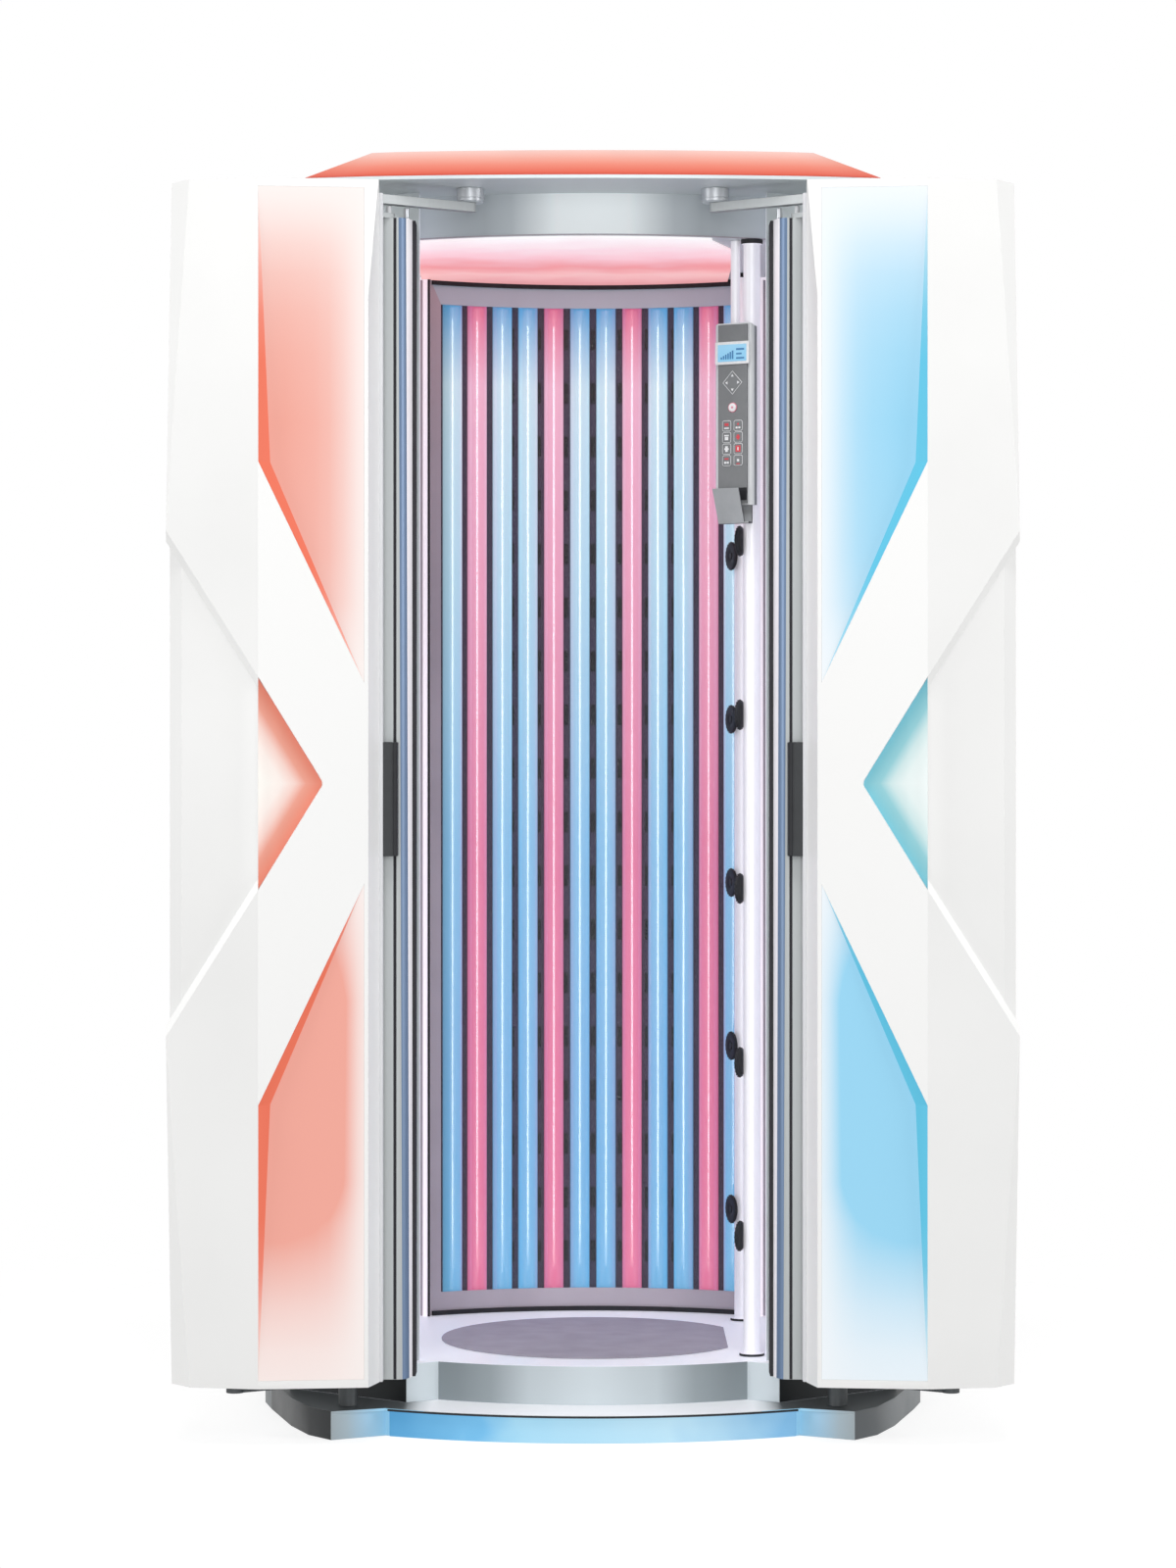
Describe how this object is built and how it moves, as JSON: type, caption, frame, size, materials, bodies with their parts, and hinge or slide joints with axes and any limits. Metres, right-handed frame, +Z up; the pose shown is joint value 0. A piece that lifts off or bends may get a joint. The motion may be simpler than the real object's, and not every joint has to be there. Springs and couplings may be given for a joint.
{
  "type": "vertical tanning booth",
  "caption": "Walk-in vertical tanning booth with two swinging lamp doors shown open, a curved wall of tube lamps, a lit base and canopy, a keypad unit and air nozzles.",
  "frame": {"origin": "on the floor under the cabin, on the plane between the two doors", "axes": "+Z up, -Y out through the doorway, +X towards the control unit"},
  "size_m": [1.472, 1.244, 2.2624],
  "materials": {
    "grey_paint": "satin light grey paint",
    "white_shell": "smooth white moulded shell",
    "blue_acrylic": "lit translucent sheet, pale blue",
    "coral_acrylic": "lit translucent sheet, coral",
    "pink_acrylic": "lit translucent sheet, pink",
    "floor_rubber": "matt fine-grained mat",
    "dark_frame": "satin dark violet grey",
    "lamp_glass_blue": "lit fluorescent tube, blue white",
    "lamp_glass_pink": "lit fluorescent tube, pink",
    "clear_acrylic": "clear gloss sheet",
    "black_plastic": "matt black moulding",
    "zinc_sheet": "bright sheet metal",
    "brushed_steel": "satin silver tube and bar",
    "silver_aluminium": "satin anodised extrusion",
    "unit_grey": "satin light grey moulding",
    "keypad_film": "matt grey membrane",
    "display_glass": "lit pale blue screen",
    "button_white": "pale push button",
    "lamp_bank_white": "white tubes on a reflector tray"
  },
  "bodies": {
    "booth": {"base_plinth": "grey_paint", "base_glow_panel": "blue_acrylic", "platform": "grey_paint", "floor_mat": "floor_rubber", "rear_shell": "white_shell", "left_side_wall": "grey_paint", "right_side_wall": "grey_paint", "rear_lamp_housing": "dark_frame", "rear_lamp_01": "lamp_glass_blue", "rear_lamp_02": "lamp_glass_pink", "rear_lamp_03": "lamp_glass_blue", "rear_lamp_04": "lamp_glass_blue", "rear_lamp_05": "lamp_glass_pink", "rear_lamp_06": "lamp_glass_blue", "rear_lamp_07": "lamp_glass_blue", "rear_lamp_08": "lamp_glass_pink", "rear_lamp_09": "lamp_glass_blue", "rear_lamp_10": "lamp_glass_blue", "rear_lamp_11": "lamp_glass_pink", "rear_lamp_12": "lamp_glass_blue", "acrylic_shield": "clear_acrylic", "canopy_frame": "grey_paint", "ceiling_light_panel": "pink_acrylic", "canopy_dome": "coral_acrylic", "ballast_tray": "zinc_sheet", "grab_pole": "brushed_steel", "nozzle_column": "brushed_steel", "control_housing": "unit_grey", "keypad_plate": "keypad_film", "display_lens": "display_glass"},
    "left_top_arm_body": {"left_top_arm": "brushed_steel"},
    "left_lower_arm_body": {"left_lower_arm": "brushed_steel"},
    "left_door": {"left_door_shell": "white_shell", "left_door_light_panel": "coral_acrylic", "left_door_edge_profile": "silver_aluminium", "left_door_handle": "black_plastic", "left_door_lamp_bank": "lamp_bank_white"},
    "right_top_arm_body": {"right_top_arm": "brushed_steel"},
    "right_lower_arm_body": {"right_lower_arm": "brushed_steel"},
    "right_door": {"right_door_shell": "white_shell", "right_door_light_panel": "blue_acrylic", "right_door_edge_profile": "silver_aluminium", "right_door_handle": "black_plastic", "right_door_lamp_bank": "lamp_bank_white"},
    "fan": {"fan_rotor": "black_plastic"},
    "start_button_body": {"start_button": "button_white"},
    "nav_pad_body": {"nav_pad": "keypad_film"},
    "key_1_body": {"key_1": "black_plastic"},
    "key_2_body": {"key_2": "black_plastic"},
    "key_3_body": {"key_3": "black_plastic"},
    "key_4_body": {"key_4": "black_plastic"},
    "key_5_body": {"key_5": "black_plastic"},
    "key_6_body": {"key_6": "black_plastic"},
    "key_7_body": {"key_7": "black_plastic"},
    "key_8_body": {"key_8": "black_plastic"},
    "air_nozzle_1_body": {"air_nozzle_1": "black_plastic"},
    "air_nozzle_2_body": {"air_nozzle_2": "black_plastic"},
    "air_nozzle_3_body": {"air_nozzle_3": "black_plastic"},
    "air_nozzle_4_body": {"air_nozzle_4": "black_plastic"},
    "air_nozzle_5_body": {"air_nozzle_5": "black_plastic"}
  },
  "joints": [
    {"name": "left_arm_swing", "type": "hinge", "parent": "booth", "child": "left_top_arm_body", "pos_m": [-0.215, -0.474, 2.148], "axis": [0, 0, 1], "range_deg": [0, 88]},
    {"name": "left_door_hinge", "type": "hinge", "parent": "left_top_arm_body", "child": "left_door", "pos_m": [-0.40192, -0.60103, 2.13], "axis": [0, 0, 1], "range_deg": [-88, 0]},
    {"name": "left_lower_swing", "type": "hinge", "parent": "booth", "child": "left_lower_arm_body", "pos_m": [-0.428, -0.503, 0.07], "axis": [0, 0, 1], "range_deg": [0, 88]},
    {"name": "right_arm_swing", "type": "hinge", "parent": "booth", "child": "right_top_arm_body", "pos_m": [0.215, -0.474, 2.148], "axis": [0, 0, -1], "range_deg": [0, 88]},
    {"name": "right_door_hinge", "type": "hinge", "parent": "right_top_arm_body", "child": "right_door", "pos_m": [0.40192, -0.60103, 2.13], "axis": [0, 0, -1], "range_deg": [-88, 0]},
    {"name": "right_lower_swing", "type": "hinge", "parent": "booth", "child": "right_lower_arm_body", "pos_m": [0.428, -0.503, 0.07], "axis": [0, 0, -1], "range_deg": [0, 88]},
    {"name": "fan_spin", "type": "hinge", "parent": "booth", "child": "fan", "pos_m": [0, 0.2, 2.206], "axis": [0, 0, 1], "continuous": true},
    {"name": "start_press", "type": "slide", "parent": "booth", "child": "start_button_body", "axis": [0.5, 0.866, 0], "range_m": [0, 0.0012], "stiffness_N_per_m": 600},
    {"name": "nav_press", "type": "slide", "parent": "booth", "child": "nav_pad_body", "axis": [0.5, 0.866, 0], "range_m": [0, 0.0008], "stiffness_N_per_m": 800},
    {"name": "key_1_press", "type": "slide", "parent": "booth", "child": "key_1_body", "axis": [0.5, 0.866, 0], "range_m": [0, 0.0006], "stiffness_N_per_m": 800},
    {"name": "key_2_press", "type": "slide", "parent": "booth", "child": "key_2_body", "axis": [0.5, 0.866, 0], "range_m": [0, 0.0006], "stiffness_N_per_m": 800},
    {"name": "key_3_press", "type": "slide", "parent": "booth", "child": "key_3_body", "axis": [0.5, 0.866, 0], "range_m": [0, 0.0006], "stiffness_N_per_m": 800},
    {"name": "key_4_press", "type": "slide", "parent": "booth", "child": "key_4_body", "axis": [0.5, 0.866, 0], "range_m": [0, 0.0006], "stiffness_N_per_m": 800},
    {"name": "key_5_press", "type": "slide", "parent": "booth", "child": "key_5_body", "axis": [0.5, 0.866, 0], "range_m": [0, 0.0006], "stiffness_N_per_m": 800},
    {"name": "key_6_press", "type": "slide", "parent": "booth", "child": "key_6_body", "axis": [0.5, 0.866, 0], "range_m": [0, 0.0006], "stiffness_N_per_m": 800},
    {"name": "key_7_press", "type": "slide", "parent": "booth", "child": "key_7_body", "axis": [0.5, 0.866, 0], "range_m": [0, 0.0006], "stiffness_N_per_m": 800},
    {"name": "key_8_press", "type": "slide", "parent": "booth", "child": "key_8_body", "axis": [0.5, 0.866, 0], "range_m": [0, 0.0006], "stiffness_N_per_m": 800},
    {"name": "air_nozzle_1_turn", "type": "hinge", "parent": "booth", "child": "air_nozzle_1_body", "pos_m": [0.28397, 0.12602, 0.33], "axis": [-0.9397, -0.342, 0], "range_deg": [-90, 90]},
    {"name": "air_nozzle_2_turn", "type": "hinge", "parent": "booth", "child": "air_nozzle_2_body", "pos_m": [0.28397, 0.12602, 0.64], "axis": [-0.9397, -0.342, 0], "range_deg": [-90, 90]},
    {"name": "air_nozzle_3_turn", "type": "hinge", "parent": "booth", "child": "air_nozzle_3_body", "pos_m": [0.28397, 0.12602, 0.95], "axis": [-0.9397, -0.342, 0], "range_deg": [-90, 90]},
    {"name": "air_nozzle_4_turn", "type": "hinge", "parent": "booth", "child": "air_nozzle_4_body", "pos_m": [0.28397, 0.12602, 1.26], "axis": [-0.9397, -0.342, 0], "range_deg": [-90, 90]},
    {"name": "air_nozzle_5_turn", "type": "hinge", "parent": "booth", "child": "air_nozzle_5_body", "pos_m": [0.28397, 0.12602, 1.57], "axis": [-0.9397, -0.342, 0], "range_deg": [-90, 90]}
  ],
  "couplings": [
    {"joint": "left_door_hinge", "follows": "left_arm_swing", "ratio": -1},
    {"joint": "left_lower_swing", "follows": "left_arm_swing", "ratio": 1},
    {"joint": "right_door_hinge", "follows": "right_arm_swing", "ratio": -1},
    {"joint": "right_lower_swing", "follows": "right_arm_swing", "ratio": 1}
  ]
}
